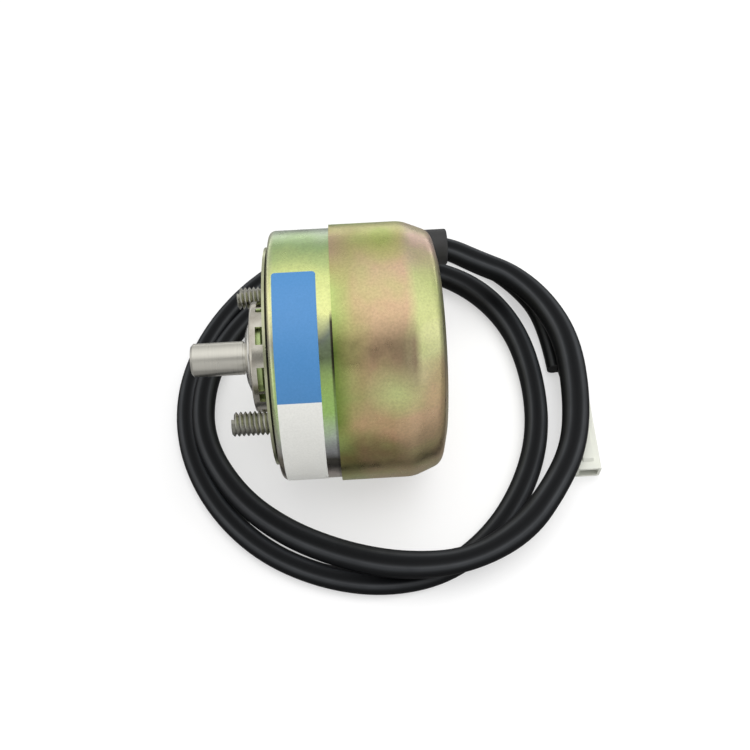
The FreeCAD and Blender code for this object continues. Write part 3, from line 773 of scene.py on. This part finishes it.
def dress_all(made):
    """Materials of every piece."""
    bright = bright_metal("bright_zinc", (0.76, 0.73, 0.64), (0.50, 0.46, 0.39), 0.24)
    turned = bright_metal("turned_zinc", (0.76, 0.75, 0.70), (0.62, 0.60, 0.55), 0.22, rings=0.14)
    plate = bright_metal("plate_zinc", (0.66, 0.68, 0.46), (0.52, 0.54, 0.34), 0.30)
    iron = bright_metal("core_iron", (0.46, 0.45, 0.42), (0.36, 0.35, 0.33), 0.34)
    bronze = moulded("sintered_bronze", (0.56, 0.40, 0.20), (0.42, 0.30, 0.16), 0.42, metallic=1.0)
    ivory = moulded("ivory_plastic", (0.65, 0.66, 0.59), (0.61, 0.62, 0.56), 0.42, bump=0.08)
    rubber = moulded("black_rubber", (0.018, 0.018, 0.019), (0.030, 0.030, 0.030), 0.55)
    dress("front_plate", plate)
    dress("case", zinc_case())
    dress("base_plate", moulded("blackened_iron", (0.030, 0.030, 0.028), (0.045, 0.044, 0.040),
                                0.50))
    dress("stator_pole", iron)
    dress("front_bush", bronze)
    dress("rear_bush", bronze)
    dress("coil_bobbin", moulded("bobbin_nylon", (0.70, 0.67, 0.56), (0.62, 0.59, 0.50), 0.45))
    dress("coil_winding", moulded("copper_wire", (0.62, 0.26, 0.12), (0.48, 0.19, 0.08), 0.30,
                                  metallic=1.0))
    dress("coil_tape", moulded("coil_tape", (0.62, 0.50, 0.14), (0.54, 0.42, 0.12), 0.30))
    dress("shaft", ground_shaft())
    for name in ("armature_core", "armature_plate", "armature_collar"):
        dress(name, iron)
    spring = bright_metal("spring_steel", (0.34, 0.37, 0.42), (0.24, 0.26, 0.32), 0.24)
    dress("retaining_ring", spring)
    dress("return_spring", bright_metal("spring_zinc", (0.76, 0.92, 0.46), (0.64, 0.80, 0.38),
                                        0.45))
    ball = bright_metal("ball_steel", (0.80, 0.80, 0.80), (0.76, 0.76, 0.76), 0.10)
    for name in ("ball_1", "ball_2", "ball_3"):
        dress(name, ball)
    dress("dust_cover", zinc_cover())
    dress("spring_housing", bright)
    dress("spring_hub", turned)
    dress("thrust_washer", bronze)
    dress("name_label", label_foil())
    dress("lead_grommet", rubber)
    dress("lead_boot", rubber)
    dress("plug_housing", ivory)
    dress("plug_pins", bright)
    stud = bright_metal("stud_steel", (0.44, 0.43, 0.38), (0.26, 0.26, 0.22), 0.22)
    made["sleeve"].data.materials.append(black_sleeve())
    insulation = moulded("lead_insulation", (0.012, 0.012, 0.013), (0.020, 0.020, 0.021), 0.45,
                         bump=0.05)
    for lead in made["leads"]:
        lead.data.materials.append(insulation)
    for piece in made["studs"]:
        piece.data.materials.append(stud)


# Table, background and light

def card(name, size, centre, aim, material):
    """A flat sheet facing a point, as part of the surroundings."""
    sheet = bmesh.new()
    bmesh.ops.create_grid(sheet, x_segments=1, y_segments=1, size=0.5)
    turn = (Vector(aim) - Vector(centre)).to_track_quat("Z", "X").to_matrix().to_4x4()
    scale = Matrix.Diagonal((size[0], size[1], 1.0, 1.0))
    bmesh.ops.transform(sheet, matrix=Matrix.Translation(centre) @ turn @ scale, verts=sheet.verts)
    piece = mesh_piece(name, sheet)
    piece.data.materials.append(material)
    return piece


def only_mirrored(sheet):
    """Leave a sheet visible in reflections alone."""
    sheet.visible_camera = False
    sheet.visible_diffuse = False
    sheet.visible_shadow = False
    sheet.visible_transmission = False


def make_floor():
    """White table, lifted towards white where it is seen directly or mirrored."""
    finish = Finish("table_white")
    finish.surface("Base Color", (table_shade, table_shade, table_shade))
    finish.surface("Roughness", 0.8)
    finish.surface("Specular IOR Level", 0.2)
    path = finish.add("ShaderNodeLightPath").outputs
    mirrored = finish.math("MAXIMUM", path["Is Glossy Ray"], path["Is Transmission Ray"])
    seen = finish.math("MAXIMUM", path["Is Camera Ray"], mirrored)
    far = finish.add("ShaderNodeVectorMath", operation="LENGTH")
    finish.link(finish.place(), far.inputs[0])
    lift = finish.span(far.outputs["Value"], lift_near, lift_far, table_lift, 1.0)
    finish.show(finish.blend(finish.math("MULTIPLY", seen, lift), finish.shader.outputs[0],
                             finish.glow((1.0, 1.0, 1.0))))
    card("table", (table_size, table_size), (scene_middle, 0.0, floor_z),
         (scene_middle, 0.0, 1.0), finish.material)


def make_dark_card():
    """Soft dark card above the camera, seen only as a reflection."""
    finish = Finish("dark_card")
    axes = finish.axes(shift=(0.0, -dark_card_place[1], 0.0))
    off = finish.math("ABSOLUTE", axes["Y"])
    side = finish.math("ABSOLUTE", axes["X"])
    shade = finish.math("MULTIPLY", finish.span(off, 0.03, 0.11, 1.0, 0.0),
                        finish.span(side, 0.034, 0.054, 1.0, 0.0))
    clear = finish.add("ShaderNodeBsdfTransparent").outputs[0]
    finish.show(finish.blend(shade, clear, finish.glow((0.05, 0.05, 0.05))))
    only_mirrored(card("dark_card", dark_card_size, dark_card_place, (0.0, 0.0, 0.0),
                       finish.material))


def make_tent():
    """Half-round paper tent, bright above and grey at the sides."""
    finish = Finish("tent_paper")
    axes = finish.axes()
    angle = finish.math("ARCTAN2", axes["Y"], axes["Z"])
    around = finish.span(angle, math.radians(-tent_reach), math.radians(tent_reach))
    stops = [((degrees + tent_reach) / (2 * tent_reach), (grey, grey, grey))
             for degrees, grey in tent_levels]
    finish.show(finish.glow(finish.ramp(around, stops)))
    shell = bmesh.new()
    rows = []
    for step in range(tent_steps + 1):
        turn = math.radians(-tent_reach + 2 * tent_reach * step / tent_steps)
        y, z = tent_radius * math.sin(turn), tent_radius * math.cos(turn)
        z = max(z, floor_z + tent_gap)
        rows.append([shell.verts.new((x, y, z)) for x in (-tent_half_length, tent_half_length)])
    for first, second in zip(rows, rows[1:]):
        shell.faces.new((first[0], first[1], second[1], second[0]))
    shell.faces.new([row[1] for row in rows])
    tent = mesh_piece("tent", shell)
    tent.data.materials.append(finish.material)
    only_mirrored(tent)


def make_grey_sheet():
    """Grey sheet on the table under the object, seen as a reflection: painted shade for the table
    in front of the object, darkest a few centimetres ahead where the sleeve lies.
    """
    finish = Finish("grey_sheet")
    ahead = finish.math("MULTIPLY", finish.axes()["Y"], -1.0)
    level = finish.ramp(finish.span(ahead, 0.0, grey_sheet_fade), [
        (0.00, (0.28, 0.28, 0.28)),
        (0.32, (0.22, 0.22, 0.22)),
        (0.52, (0.42, 0.42, 0.42)),
        (1.00, (0.46, 0.46, 0.46)),
    ])
    finish.show(finish.glow(level))
    centre = (scene_middle, grey_sheet_y, floor_z + grey_sheet_lift)
    only_mirrored(card("grey_sheet", grey_sheet_size, centre, (scene_middle, grey_sheet_y, 1.0),
                       finish.material))


def make_light():
    """White surroundings and a large soft lamp overhead."""
    world = bpy.data.worlds.new("surroundings")
    bpy.context.scene.world = world
    world.use_nodes = True
    tree = world.node_tree
    background = tree.nodes["Background"]
    background.inputs["Color"].default_value = (1.0, 1.0, 1.0, 1.0)
    path = tree.nodes.new("ShaderNodeLightPath")
    seen = path.outputs["Is Camera Ray"]
    for kind in ("Is Glossy Ray", "Is Transmission Ray"):
        either = tree.nodes.new("ShaderNodeMath")
        either.operation = "MAXIMUM"
        tree.links.new(seen, either.inputs[0])
        tree.links.new(path.outputs[kind], either.inputs[1])
        seen = either.outputs[0]
    level = tree.nodes.new("ShaderNodeMapRange")
    level.inputs["To Min"].default_value = surroundings_level
    level.inputs["To Max"].default_value = 1.0
    tree.links.new(seen, level.inputs["Value"])
    tree.links.new(level.outputs["Result"], background.inputs["Strength"])
    data = bpy.data.lights.new("overhead", "AREA")
    data.shape = "SQUARE"
    data.size = lamp_size
    data.energy = lamp_power
    lamp = bpy.data.objects.new("overhead", data)
    place = Vector(lamp_place)
    turn = (-place).to_track_quat("-Z", "Y").to_matrix().to_4x4()
    lamp.matrix_world = Matrix.Translation(place) @ turn
    lamp.visible_glossy = False
    bpy.context.collection.objects.link(lamp)
    bpy.context.scene.view_settings.view_transform = "Standard"


def main():
    """Lay, dress and light the scene."""
    make_camera()
    leads = [make_lead(number, route) for number, route in enumerate(lead_routes, 1)]
    sleeve = make_sleeve()
    made = {"sleeve": sleeve, "leads": leads}
    made["studs"] = [make_stud(1, stud_angle), make_stud(2, stud_angle + math.pi)]
    dress_all(made)
    make_floor()
    make_dark_card()
    make_tent()
    make_grey_sheet()
    make_light()


main()
